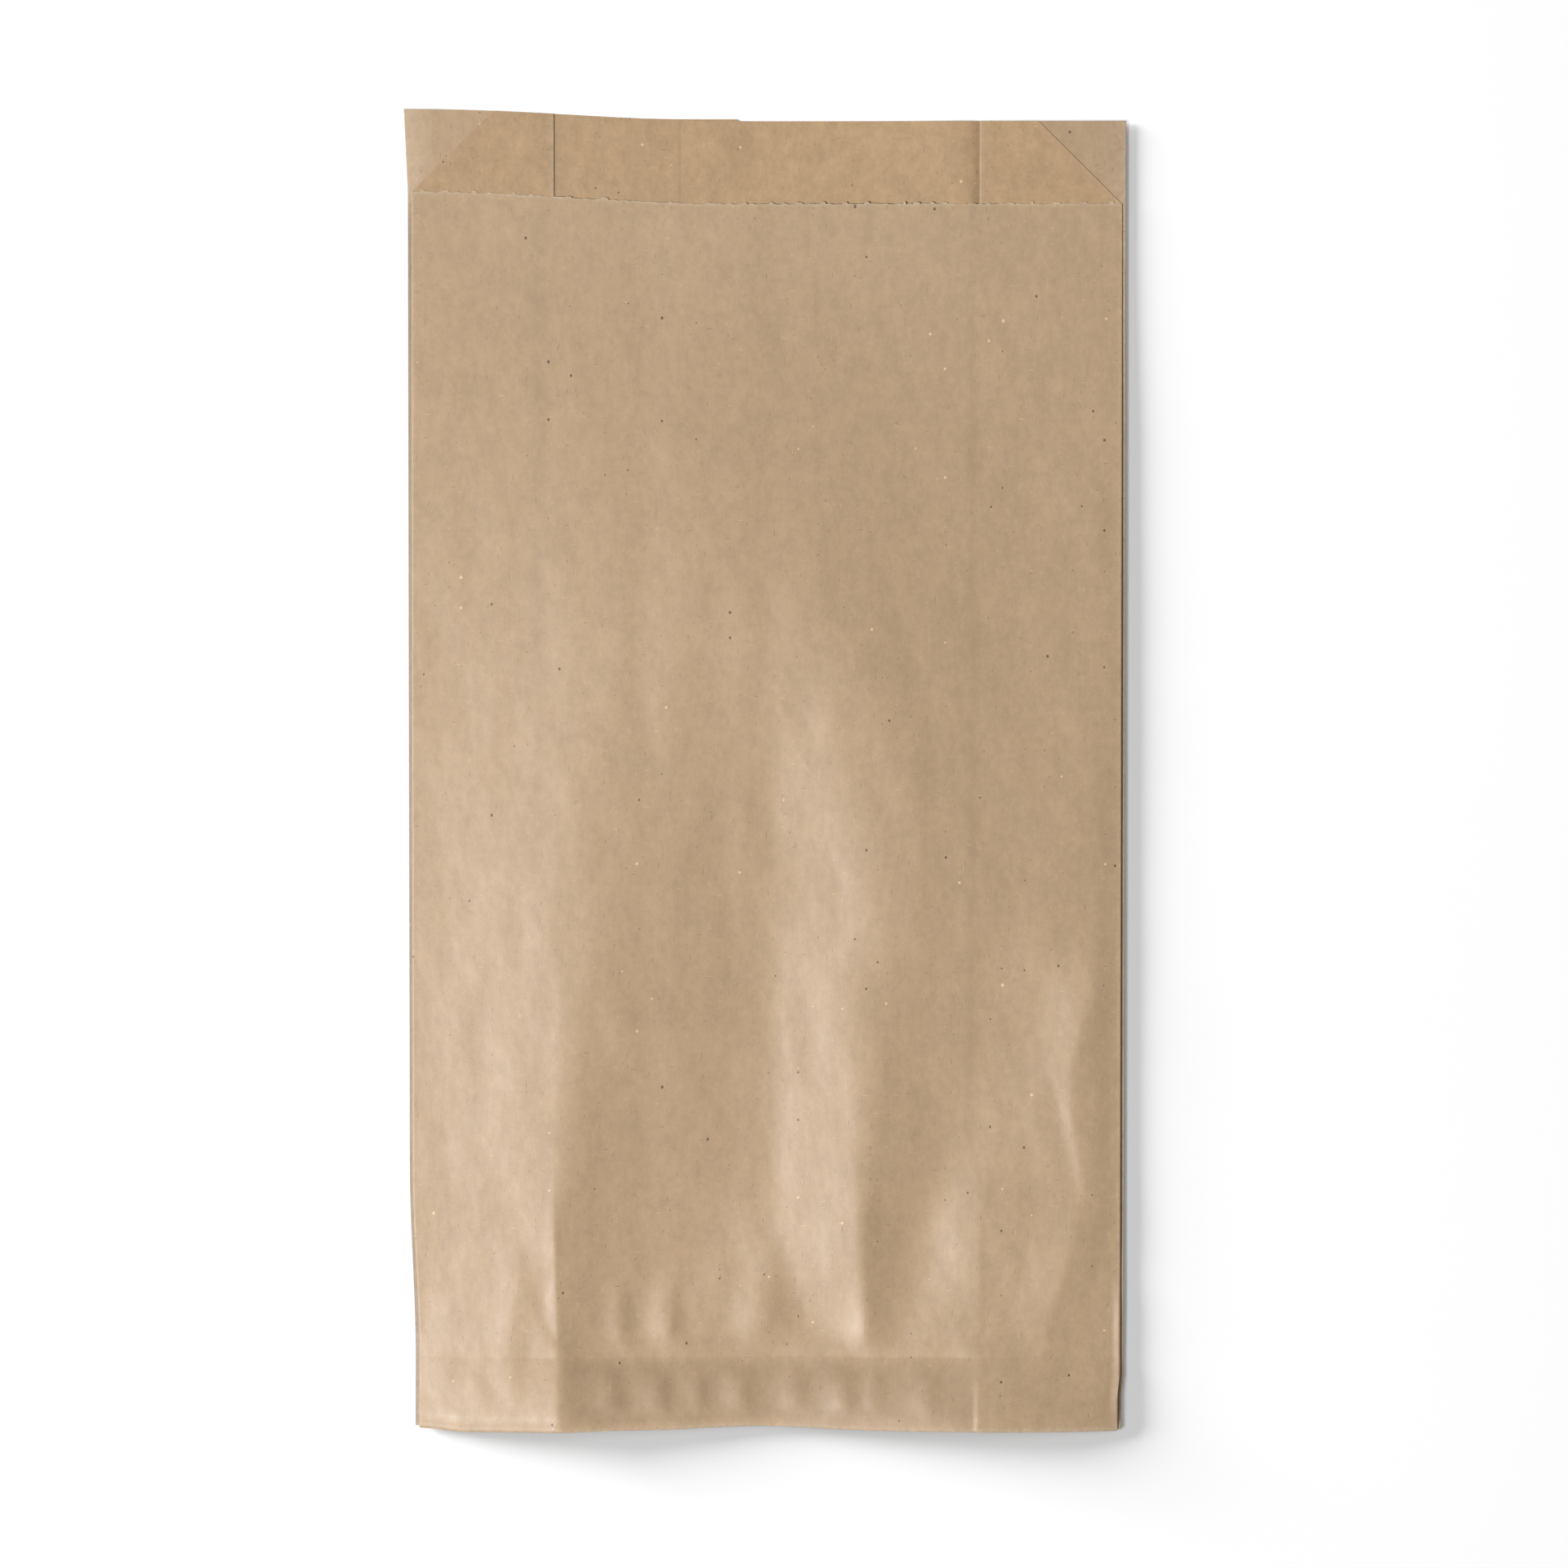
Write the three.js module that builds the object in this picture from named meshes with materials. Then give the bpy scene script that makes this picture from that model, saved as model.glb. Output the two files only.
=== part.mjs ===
// A flat kraft paper bag with side gussets, lying on its back with the front wall up.
// Millimetres, +Z up. X runs across the bag and +Y towards its mouth.
//
// The bag is one sheet of paper. The blank is folded lengthwise into a tube with a gusset down
// each side, its two long edges lap in a seam down the back, and the foot of the front wall is
// folded under the back wall as a flap. One stepped cut parts each bag from the next, so the
// back wall stands above the front wall at the mouth by what the front wall has over at the foot.
// The back wall ends at the bottom fold, and the upper gusset plies are cut at 45 degrees.

import * as THREE from "three";

const { clamp, lerp, smoothstep } = THREE.MathUtils;

// Driving dimensions of the blank and its folds
const HEIGHT = 275.2; // from the bottom fold to the top of the back wall
const BACK_WIDTH = 151; // back wall at the mouth, side fold to side fold
const FRONT_INSET = 0.8; // how far the front wall's side folds lie inside the back wall's
const GUSSET = 30.5; // gusset depth, from the back wall's side fold to the inner fold
const LIP = 17.5; // how far the back wall stands above the front wall's edge
const TURN_IN = 1; // length of paper that the bottom fold takes up
const SEAM_X = -18; // inner edge of the lapped seam
const SEAM_LAP = 12; // width of the lap
const PAPER = 0.08; // thickness of the sheet
const AIR = 0.17; // air between two plies that lie on each other

// How the folded bag lies
const DRAPE = 3; // length over which a ply comes down past an edge under it
const SPRING = 1; // height by which a gusset springs open along its side fold
const SPRING_LENGTH = 45; // length above the flap over which the gusset opens
const DRAW_IN = 1.2; // how far each side fold is drawn in at the bottom
const CUT_SKEW = 2.6; // the cut at the mouth runs up by this at the left side
const CUT_LEVEL_X = -5; // the cut is square to the bag to the right of this
const SKEW_LENGTH = 70; // length below the mouth that follows the skewed cut
const MOUTH_GAP = 0.7; // how far the front wall's edge stands off the back wall
const MOUTH_LENGTH = 40; // length of front wall that lifts to that gap

// The foot of the bag curls up off the table with the flap under it
const LEFT_CURL = 3; // height of the bottom fold at its left end
const RIGHT_CURL = 2; // and at its right end

// Swell of the front wall over its lower part: two crests with a hollow between them
const SWELL = 4; // height of the crests
const SWELL_HEAD = 245; // the wall begins to rise here, measured from the bottom fold
const SWELL_FULL = 160; // and is up to its full height here
const SWELL_FOOT = 45; // from here it comes down to the pressed foot
const PRESSED = 15; // height of the foot, which is pressed flat
const LINE_HEIGHTS = [185, 85, 40]; // heights at which the lines down the swell are given

// Lines down the swell, left to right: places across the bag and shares of its height at those heights
const LINES = [
  { name: "left crest", x: [-26, -38, -44.5], share: [0.95, 1, 0.85] },
  { name: "hollow", x: [-6, -3, -3], share: [0.95, 0.2, 0.04] },
  { name: "right crest", x: [14, 22, 20], share: [1, 0.85, 0.65] },
  { name: "right hollow", x: [45, 42, 31], share: [0.28, 0.25, 0.08] },
  { name: "right gusset's fold", x: [62, 63, 46], share: [0.12, 0.28, 0.36] },
];

// Fineness of the mesh
const FOLD_STEPS = 3; // flats round one fold
const FRONT_STEP = 7.5; // widest flat across the front wall
const LOWER_STEP = 10; // longest flat along the swollen part
const UPPER_STEP = 24; // longest flat along the plain part

// Sizes that follow from those
const PITCH = PAPER + AIR;
const FLAP = LIP - TURN_IN;
const FRONT_TOP = HEIGHT - LIP;
const BACK_FOLD = BACK_WIDTH / 2;
const FRONT_FOLD = BACK_FOLD - FRONT_INSET;
const INNER_FOLD = BACK_FOLD - GUSSET;
const SEAM_END = SEAM_X + SEAM_LAP;

const KRAFT = new THREE.MeshStandardMaterial({ color: 0xbfa383, roughness: 0.8, metalness: 0 });

// 1 up to an edge, then straight down to 0 over a length past it
const rampDown = (at, edge, length) => clamp((edge + length - at) / length, 0, 1);

// Evenly spaced values from one to another, both included, with no step longer than the given one
function spaced(from, to, longest) {
  const count = Math.max(1, Math.ceil(Math.abs(to - from) / longest - 1e-9));
  return Array.from({ length: count + 1 }, (_, i) => lerp(from, to, i / count));
}

// The stops in order, with the stretches between them divided into even steps
function subdivided(stops, longest) {
  const runs = stops.slice(1).map((stop, i) => spaced(stops[i], stop, longest).slice(1));
  return [stops[0], ...runs.flat()];
}

// Height of the curled foot above the table
function curl(x, y) {
  const across = (x + BACK_FOLD) / BACK_WIDTH;
  return lerp(LEFT_CURL, RIGHT_CURL, across) * rampDown(y, 0, FLAP);
}

// Height of the front wall's swell above flat paper
function swell(x, y) {
  const [head, middle, foot] = LINE_HEIGHTS;
  const opened = 1 - smoothstep(y, middle, head);
  const gathered = 1 - smoothstep(y, foot, middle);
  const between = ([atHead, atMiddle, atFoot]) =>
    atHead + (atMiddle - atHead) * opened + (atFoot - atMiddle) * gathered;
  const points = [
    { x: -FRONT_FOLD, height: 0 },
    ...LINES.map((line) => ({ x: between(line.x), height: between(line.share) })),
    { x: FRONT_FOLD, height: 0 },
  ];
  const next = points.findIndex((point, i) => i > 0 && x <= point.x);
  if (next < 0) return 0;
  const [a, b] = [points[next - 1], points[next]];
  const across = lerp(a.height, b.height, smoothstep(x, a.x, b.x));
  const rise = 1 - smoothstep(y, SWELL_FULL, SWELL_HEAD);
  const fall = smoothstep(y, PRESSED, SWELL_FOOT);
  return SWELL * across * rise * fall;
}

// Lift of the front wall towards its free edge at the mouth, none over the gussets
function mouthLift(x, y) {
  const between = 1 - smoothstep(Math.abs(x), 0, INNER_FOLD);
  return MOUTH_GAP * between * smoothstep(y, FRONT_TOP - MOUTH_LENGTH, FRONT_TOP);
}

// Height that the sprung gusset adds to its upper ply and to the front wall
function gussetSpring(x, y) {
  const out = clamp((Math.abs(x) - INNER_FOLD) / (FRONT_FOLD - INNER_FOLD), 0, 1);
  return SPRING * out * smoothstep(y, FLAP, FLAP + SPRING_LENGTH);
}

// Plies of the folded flap under a place: the flap, and near the sides the gusset's tip folded in with it
function flapPlies(x, y) {
  const overTip = rampDown(FRONT_FOLD - Math.abs(x), LIP, DRAPE);
  return rampDown(y, FLAP, DRAPE) * (1 + overTip);
}

// Plies under the front wall: the back wall, two gusset plies near the sides, and the seam's lap
function pliesUnderFront(x) {
  const overGusset = rampDown(INNER_FOLD - Math.abs(x), 0, DRAPE);
  const overLap = rampDown(Math.max(SEAM_X - x, x - SEAM_END), 0, DRAPE);
  return 1 + 2 * overGusset + overLap;
}

// Stations are lines that run along the blank. Each one has
//   x       its place across the folded bag
//   plies   how many plies lie under it
//   cut     how far the stepped cut has risen there, from the front wall's edge to the back wall's
//   tuck    how many plies lie under it where it is folded under with the flap
//   upper   1 on the front wall and the gusset ply that springs up with it
//   front   1 on the front wall

// The stations strictly inside a fold that turns from one station to the next, bulging to side +1 or -1
function foldBetween(a, b, side) {
  const turns = Array.from({ length: FOLD_STEPS - 1 }, (_, i) => (Math.PI * (i + 1)) / FOLD_STEPS);
  return turns.map((turn) => {
    const share = (1 - Math.cos(turn)) / 2;
    const middle = Object.keys(a).map((key) => [key, lerp(a[key], b[key], share)]);
    const station = Object.fromEntries(middle);
    return { ...station, x: station.x + (side * PITCH * Math.sin(turn)) / 2 };
  });
}

function frontStation(x) {
  return { x, plies: pliesUnderFront(x), cut: 0, tuck: 0, upper: 1, front: 1 };
}

function backStation(x, plies = 0) {
  return { x, plies, cut: LIP, tuck: 0, upper: 0, front: 0 };
}

// The right-hand gusset, from the back wall's side fold in to the inner fold and out to the front wall's
function gussetStations() {
  const lower = [BACK_FOLD, BACK_FOLD - LIP, BACK_FOLD - LIP - DRAPE, INNER_FOLD].map((x) => backStation(x, 1));
  const upper = [INNER_FOLD, FRONT_FOLD - LIP - DRAPE, FRONT_FOLD - LIP, FRONT_FOLD].map((x) => {
    const cut = Math.min(FRONT_FOLD - x, LIP);
    return { x, plies: 2, cut, tuck: 1, upper: 1, front: 0 };
  });
  return [
    ...foldBetween(backStation(BACK_FOLD), lower[0], 1),
    ...lower,
    ...foldBetween(lower.at(-1), upper[0], -1),
    ...upper,
    ...foldBetween(upper.at(-1), frontStation(FRONT_FOLD), 1),
  ];
}

// All stations across the blank, from the seam's inner edge round the tube to its outer edge
function blankStations() {
  const right = gussetStations();
  const left = right.toReversed().map((station) => ({ ...station, x: -station.x }));
  const backStops = [INNER_FOLD, BACK_FOLD - LIP - DRAPE, BACK_FOLD - LIP, BACK_FOLD];
  const overTip = [FRONT_FOLD, FRONT_FOLD - LIP, FRONT_FOLD - LIP - DRAPE];
  const halfFront = [...overTip, INNER_FOLD, INNER_FOLD - DRAPE];
  const overSeam = [SEAM_END + DRAPE, SEAM_END, SEAM_X, SEAM_X - DRAPE];
  const frontStops = [...halfFront, ...overSeam, ...halfFront.toReversed().map((x) => -x)];
  return [
    backStation(SEAM_X, 1),
    backStation(SEAM_END, 1),
    ...[SEAM_END + DRAPE, ...backStops].map((x) => backStation(x)),
    ...right,
    ...subdivided(frontStops, FRONT_STEP).map(frontStation),
    ...left,
    ...backStops.toReversed().map((x) => backStation(-x)),
    backStation(SEAM_END),
  ];
}

// Rows across the blank: along is measured up from the bottom fold, below 0 in the fold and on the flap,
// and turn is the angle round the bottom fold, from 0 on the bag to half a turn on the flap
function blankRows() {
  const turns = spaced(Math.PI, 0, Math.PI / FOLD_STEPS);
  const lower = subdivided([0, FLAP, FLAP + DRAPE, SWELL_FULL], LOWER_STEP).slice(1);
  const upper = spaced(SWELL_FULL, FRONT_TOP, UPPER_STEP).slice(1);
  return [
    { along: -LIP, turn: Math.PI },
    ...turns.map((turn) => ({ along: -TURN_IN * (turn / Math.PI), turn })),
    ...[...lower, ...upper, HEIGHT].map((along) => ({ along, turn: 0 })),
  ];
}

// Where a point of the blank lies in the folded bag, on the middle of the paper
function folded(station, row) {
  const { x } = station;
  const up = Math.max(row.along, 0);
  const over =
    PAPER / 2 +
    PITCH * (station.plies + flapPlies(x, up)) +
    station.upper * gussetSpring(x, up) +
    station.front * (swell(x, up) + mouthLift(x, up));
  const under = PAPER / 2 + PITCH * station.tuck;
  const y = Math.max(up, -row.along - TURN_IN) - ((over - under) / 2) * Math.sin(row.turn);
  const skew = CUT_SKEW * smoothstep(CUT_LEVEL_X - x, 0, BACK_FOLD + CUT_LEVEL_X);
  return new THREE.Vector3(
    x * (1 - (DRAW_IN / BACK_FOLD) * (1 - y / HEIGHT)),
    y + skew * smoothstep(y, FRONT_TOP - SKEW_LENGTH, FRONT_TOP),
    lerp(under, over, (1 + Math.cos(row.turn)) / 2) + curl(x, y),
  );
}

// Triangles of the blank inside its outline, as indices of points listed row by row.
// Each cell is split along the line that the stepped cut takes across it.
function blankTriangles(stations, rows) {
  const inside = (corners) => {
    const mean = (value) => corners.reduce((sum, corner) => sum + value(corner), 0) / corners.length;
    const cut = mean(([i]) => stations[i].cut);
    const along = mean(([, j]) => rows[j].along);
    return along >= cut - LIP && along <= cut + FRONT_TOP;
  };
  const triangles = [];
  for (let j = 0; j + 1 < rows.length; j++) {
    for (let i = 0; i + 1 < stations.length; i++) {
      const [a, b, c, d] = [[i, j], [i + 1, j], [i + 1, j + 1], [i, j + 1]];
      const rises = stations[i + 1].cut >= stations[i].cut;
      const halves = rises ? [[a, b, c], [a, c, d]] : [[a, b, d], [b, c, d]];
      triangles.push(...halves.filter(inside));
    }
  }
  return triangles.map((corners) => corners.map(([i, j]) => j * stations.length + i));
}

// The directions in which the sheet's two faces lie from its middle, one for each point
function sheetNormals(points, triangles) {
  const normals = points.map(() => new THREE.Vector3());
  for (const [a, b, c] of triangles) {
    const ab = points[b].clone().sub(points[a]);
    const ac = points[c].clone().sub(points[a]);
    const facing = ab.cross(ac).normalize();
    for (const corner of [a, b, c]) normals[corner].add(facing);
  }
  return normals.map((normal) => normal.normalize());
}

// A closed solid of even thickness about a sheet of triangles
function thickened(points, triangles, thickness) {
  const normals = sheetNormals(points, triangles);
  const face = (side) => points.map((p, i) => p.clone().addScaledVector(normals[i], (side * thickness) / 2));
  const vertices = [...face(1), ...face(-1)];
  const lower = points.length;
  const index = triangles.flatMap(([a, b, c]) => [a, b, c, a + lower, c + lower, b + lower]);
  const sides = triangles.flatMap(([a, b, c]) => [[a, b], [b, c], [c, a]]);
  const taken = new Set(sides.map(([a, b]) => `${a} ${b}`));
  for (const [a, b] of sides.filter(([p, q]) => !taken.has(`${q} ${p}`))) {
    index.push(a, a + lower, b + lower, a, b + lower, b);
  }
  return new THREE.BufferGeometry().setFromPoints(vertices).setIndex(index);
}

function paperBag() {
  const stations = blankStations();
  const rows = blankRows();
  const points = rows.flatMap((row) => stations.map((station) => folded(station, row)));
  const geometry = thickened(points, blankTriangles(stations, rows), PAPER).toNonIndexed();
  geometry.computeBoundingBox();
  const { min, max } = geometry.boundingBox;
  geometry.translate(-(min.x + max.x) / 2, -(min.y + max.y) / 2, -min.z);
  geometry.computeVertexNormals();
  const bag = new THREE.Mesh(geometry, KRAFT);
  bag.name = "paper_bag";
  return bag;
}

const part = new THREE.Group();
part.add(paperBag());

export default part;
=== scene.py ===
"""A flat kraft paper bag with side gussets, lying on its back and seen from above.

The bag is one sheet of paper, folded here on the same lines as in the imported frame, with a fuller
swell and the fine creases, ripples and torn edge that the frame leaves out. Metres, +Z up, +Y
towards the mouth.
"""
import math
from collections import namedtuple

import bpy
import numpy as np
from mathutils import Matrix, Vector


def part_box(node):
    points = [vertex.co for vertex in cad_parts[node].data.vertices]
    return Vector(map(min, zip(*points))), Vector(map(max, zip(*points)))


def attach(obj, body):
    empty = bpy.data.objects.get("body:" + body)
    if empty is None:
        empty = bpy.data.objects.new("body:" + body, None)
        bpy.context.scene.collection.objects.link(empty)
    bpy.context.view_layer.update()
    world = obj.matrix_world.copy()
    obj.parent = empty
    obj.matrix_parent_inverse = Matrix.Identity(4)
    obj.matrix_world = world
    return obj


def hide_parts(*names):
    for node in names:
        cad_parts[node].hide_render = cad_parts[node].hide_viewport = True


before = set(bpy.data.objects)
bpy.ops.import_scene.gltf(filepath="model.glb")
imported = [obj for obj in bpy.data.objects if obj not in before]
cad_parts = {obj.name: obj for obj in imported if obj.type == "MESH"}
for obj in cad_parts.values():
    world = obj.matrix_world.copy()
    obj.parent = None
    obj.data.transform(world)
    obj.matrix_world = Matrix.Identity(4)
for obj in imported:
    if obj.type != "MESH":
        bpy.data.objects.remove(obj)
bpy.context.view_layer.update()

MM = 0.001
NODE = "paper_bag"
BODY = "root"

# Sheet and folds
PAPER = 0.08 * MM  # thickness of the sheet
PITCH = 0.25 * MM  # from one ply to the next
GUSSET = 30.5 * MM  # from the back wall's side fold to the inner fold
FRONT_INSET = 0.8 * MM  # the front wall's side folds lie this far inside the back wall's
LIP = 17.5 * MM  # the back wall stands this far above the front wall
TURN_IN = 1 * MM  # length of paper that the bottom fold takes up
SEAM_X = -18 * MM  # inner edge of the lapped seam
SEAM_LAP = 12 * MM  # width of the lap
CUT_SKEW = 2.6 * MM  # the cut at the mouth runs up by this at the left side
CUT_LEVEL_X = -5 * MM  # and is level to the right of this
SKEW_LENGTH = 70 * MM  # length below the mouth that follows the skewed cut
SEAM_SLIP = 0.4 * MM  # the ply under the lap stands above the other by this at the mouth
SLIP_LENGTH = 22 * MM  # it rises to that over this length
LIP_FLARE = 0.8 * MM  # the back wall's left side runs out by this at the top of the lip
DRAW_IN = 0.6 * MM  # each side fold is drawn in by this towards the bottom
FOOT_DRAW = (1.2 * MM, 0.5 * MM)  # and by this more at the foot, on the left and on the right
FOOT_DRAW_LEFT = (15 * MM, 55 * MM)  # heights between which that happens
FOOT_DRAW_RIGHT = (6 * MM, 12 * MM)
BOTTOM_PLIES = 5  # plies between the front wall and the flap at the bottom corners

box_low, box_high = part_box(NODE)
BACK_FOLD = box_high[0] - (PITCH + PAPER) / 2
HEIGHT = box_high[1] - box_low[1] - CUT_SKEW - (BOTTOM_PLIES * PITCH + PAPER) / 2
FRONT_FOLD = BACK_FOLD - FRONT_INSET
INNER_FOLD = BACK_FOLD - GUSSET
FLAP = LIP - TURN_IN
FRONT_TOP = HEIGHT - LIP
SEAM_END = SEAM_X + SEAM_LAP


def smooth(at, low, high):
    """0 up to low, 1 from high on, and a smooth rise between them."""
    t = np.clip((at - low) / (high - low), 0, 1)
    return t * t * (3 - 2 * t)


def ramp_down(at, edge, length):
    """1 up to an edge, then straight down to 0 over a length past it."""
    return np.clip((edge + length - at) / length, 0, 1)


def bump(at, centre, half_width):
    """A rounded rise of height 1 about a centre."""
    return np.exp(-(((at - centre) / half_width) ** 2))


def rounded_ramp(at, radius):
    """A straight rise from 0 on, with its corner rounded over a radius on either side."""
    t = np.clip(at / radius, -1, 1)
    return np.where(at > radius, at, radius * (t + 1) ** 2 / 4)


def crests(x, points):
    """Height at x of a line through (place, height, radius) points, its corners rounded by the radii."""
    slope = 0
    height = points[0][1]
    for (x_a, high_a, radius), (x_b, high_b, _) in zip(points, points[1:]):
        next_slope = (high_b - high_a) / (x_b - x_a)
        height = height + (next_slope - slope) * rounded_ramp(x - x_a, radius)
        slope = next_slope
    return height


# Swell of the front wall
SWELL = 4.0 * MM  # the lines below have shares of this height
SWELL_HEAD = 245 * MM  # the wall begins to rise here, measured from the bottom fold
SWELL_FULL = 160 * MM  # and is up to its full height here
PRESSED = 15 * MM  # height of the foot, which is pressed flat up to a crease
CREASE_LENGTH = 6 * MM  # the swell comes down to that crease over this length
CREASE_END = 8 * MM  # at an inner fold the crease ends over this length
GUSSET_FALL = 26 * MM  # over the gussets the swell comes down to the bottom fold over this length
FOLD_RADIUS = 1 * MM  # rounding of the swell at the side folds

# Lines that run down the front wall, from left to right. Each one has, at these heights from top to
# bottom, its places across in mm, its shares of the swell's height and its radii in mm
LINE_HEIGHTS = (190 * MM, 112 * MM, 88 * MM, 64 * MM, 40 * MM, 17 * MM)
INNER_LINE = 45  # place of the inner folds in mm, rounded
Line = namedtuple("Line", "places shares radii")
LEFT_SHOULDER = Line(
    (-52,) * len(LINE_HEIGHTS),
    (0.76, 1.02, 1.03, 1.05, 0.88, 0.25),
    (12, 8, 7, 6, 5, 5),
)
LEFT_CREST = Line(
    (-26, -35, -37, -41, -INNER_LINE, -INNER_LINE),
    (1.48, 1.48, 1.45, 1.32, 1.08, 0.36),
    (20, 12, 8, 5, 0.4, 0.4),
)
LEFT_HOLLOW = Line(
    (-13, -20, -22, -22, -15, -34),
    (1.49, 1.06, 0.92, 0.56, 0.03, 0.04),
    (12, 10, 10, 10, 8, 4),
)
HOLLOW = Line(
    (-6, -1, -2.2, -2, -2, 12.5),
    (1.49, 0.55, 0.21, 0.03, 0.02, 0.02),
    (12, 9, 6, 6.5, 7, 4),
)
RIGHT_CREST = Line(
    (14, 25, 21.5, 21, 20, 21),
    (1.58, 1.34, 0.96, 0.87, 0.84, 0.34),
    (12, 9, 5, 4, 1.2, 1),
)
RIGHT_HOLLOW = Line(
    (45, 44, 41, 40, 32, 28),
    (0.34, 0.72, 0.22, 0.05, 0.06, 0.04),
    (20, 12, 8, 8, 5, 3),
)
RIGHT_INNER = Line(
    (52, 54, 56, 46, INNER_LINE, INNER_LINE),
    (0.26, 0.50, 0.04, 0.15, 0.42, 0.18),
    (10, 8, 5, 3, 0.4, 0.4),
)
RIGHT_SHOULDER = Line(
    (60, 60, 66, 66, 68, 62),
    (0.16, 0.40, 0.14, 0.22, 0.18, 0.08),
    (10, 6, 4, 3, 4, 6),
)
LINES = (
    LEFT_SHOULDER,
    LEFT_CREST,
    LEFT_HOLLOW,
    HOLLOW,
    RIGHT_CREST,
    RIGHT_HOLLOW,
    RIGHT_INNER,
    RIGHT_SHOULDER,
)


def down_the_lines(y, values):
    """Passes smoothly from value to value at the heights of the lines."""
    result = values[0]
    for above, below, a, b in zip(LINE_HEIGHTS, LINE_HEIGHTS[1:], values, values[1:]):
        result = result + (b - a) * (1 - smooth(y, below, above))
    return result


def swell(x, y):
    """Height of the front wall's swell above flat paper."""
    points = [(-FRONT_FOLD, 0, FOLD_RADIUS)]
    for line in LINES:
        places, shares, radii = (down_the_lines(y, values) for values in line)
        points.append((places * MM, shares, radii * MM))
    points.append((FRONT_FOLD, 0, FOLD_RADIUS))
    rise = 1 - smooth(y, SWELL_FULL, SWELL_HEAD)
    in_gusset = smooth(np.abs(x) - INNER_FOLD, -CREASE_END, 0)
    to_crease = smooth(y, PRESSED, PRESSED + CREASE_LENGTH)
    to_bottom = smooth(y, 0, GUSSET_FALL)
    fall = to_crease * (1 - in_gusset) + to_bottom * in_gusset
    return SWELL * crests(x, points) * rise * fall


# Puckers that stand on the crease, in mm: (place at the foot, place at the tip, half widths of the left
# and right flanks, length, height)
PUCKERS = (
    (-31.8, -31.5, 3.8, 3.2, 17.0, 1.15),
    (-21.6, -20.5, 6.0, 3.2, 19.0, 1.40),
    (-0.6, 0.8, 7.0, 6.0, 26.0, 1.70),
)
PUCKER_SHOULDER = 0.45  # share of its length in which a pucker rises from the crease
PUCKER_TAPER = 0.5  # share of its width that it loses towards its tip

# Ripples of the pressed foot, in mm: (place across, half widths of the left and right flanks, height)
RIPPLES = (
    (-62.0, 2.5, 2.0, 0.10),
    (-55.0, 2.5, 2.0, 0.12),
    (-33.5, 3.8, 2.3, 0.55),
    (-23.4, 3.8, 2.4, 0.60),
    (-14.8, 2.8, 2.0, 0.45),
    (-5.6, 3.6, 2.4, 0.58),
    (6.0, 3.8, 2.6, 0.38),
    (16.4, 3.8, 2.3, 0.50),
    (22.8, 2.2, 2.0, 0.26),
    (34.0, 3.5, 2.4, 0.30),
)
# A ripple rises between the first two of these heights and falls between the last two
RIPPLE_SPAN = (2 * MM, 6 * MM, 9 * MM, 13.5 * MM)

# Sharper folds with flat flanks, each given from bottom to top in mm: (place up, place across, height,
# widths of the left and right flanks)
FOOT_FOLD_LEFT = (
    (6, -57.5, 0.00, 22, 6),
    (15, -57.0, 0.35, 22, 6),
    (27, -54.0, 0.35, 22, 6),
    (38, -51.0, 0.00, 22, 6),
)
INNER_FOLD_LEFT = (
    (12, -INNER_LINE, 0.00, 3, 1.5),
    (25, -INNER_LINE, 0.08, 3, 1.5),
    (50, -INNER_LINE, 0.05, 3, 3.0),
    (62, -INNER_LINE, 0.00, 3, 6.0),
)
WRINKLE = (
    (46, 67.8, 0.00, 2.0, 5),
    (50, 67.2, 0.16, 2.1, 6),
    (60, 65.5, 0.28, 2.3, 7),
    (67, 64.5, 0.38, 2.8, 8),
    (72, 64.3, 0.48, 4.0, 8),
    (77, 65.0, 0.60, 6.4, 8),
    (84, 66.7, 0.70, 8.8, 7),
    (91, 69.0, 0.60, 11.4, 5),
    (106, 70.0, 0.00, 12.0, 4),
)
FOOT_FOLD_RIGHT = (
    (8, 54.0, 0.00, 9, 12),
    (14, 57.5, 0.35, 9, 11),
    (22, 59.8, 0.65, 9, 9),
    (31, 62.4, 0.80, 9, 7),
    (38, 64.2, 0.60, 9, 7),
    (46, 65.9, 0.25, 8, 7),
    (52, 66.8, 0.00, 7, 7),
)
SIDE_LINE = 74.6  # place of the front wall's right side fold in mm, rounded
SIDE_FOLD_RIGHT = (
    (1, SIDE_LINE, 0.00, 1.3, 1),
    (5, SIDE_LINE, 0.32, 1.3, 1),
    (25, SIDE_LINE, 0.32, 1.3, 1),
    (34, SIDE_LINE, 0.00, 1.3, 1),
)
FOLDS = (FOOT_FOLD_LEFT, INNER_FOLD_LEFT, WRINKLE, FOOT_FOLD_RIGHT, SIDE_FOLD_RIGHT)

# Slack of the paper: long low waves at random
SLACK_WAVES = 18
SLACK_LENGTH = (8 * MM, 28 * MM)  # shortest and longest wave
SLACK = 0.0095 * MM  # height of one wave
SLACK_TILT = 0.6  # angle by which the waves turn, at most, from running straight down the bag
SEED = 7
chance = np.random.default_rng(SEED)


def puckers(x, y):
    height = 0 * (x + y)
    for foot, tip, left, right, length, rise in PUCKERS:
        up = np.clip((y - PRESSED) / (length * MM), 0, 1)
        place = (foot + (tip - foot) * up) * MM
        body = smooth(up, 0, PUCKER_SHOULDER) * (1 - up)
        half_width = np.where(x < place, left, right) * MM
        height = height + rise * MM * body * bump(x, place, half_width * (1 - PUCKER_TAPER * up))
    return height


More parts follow.
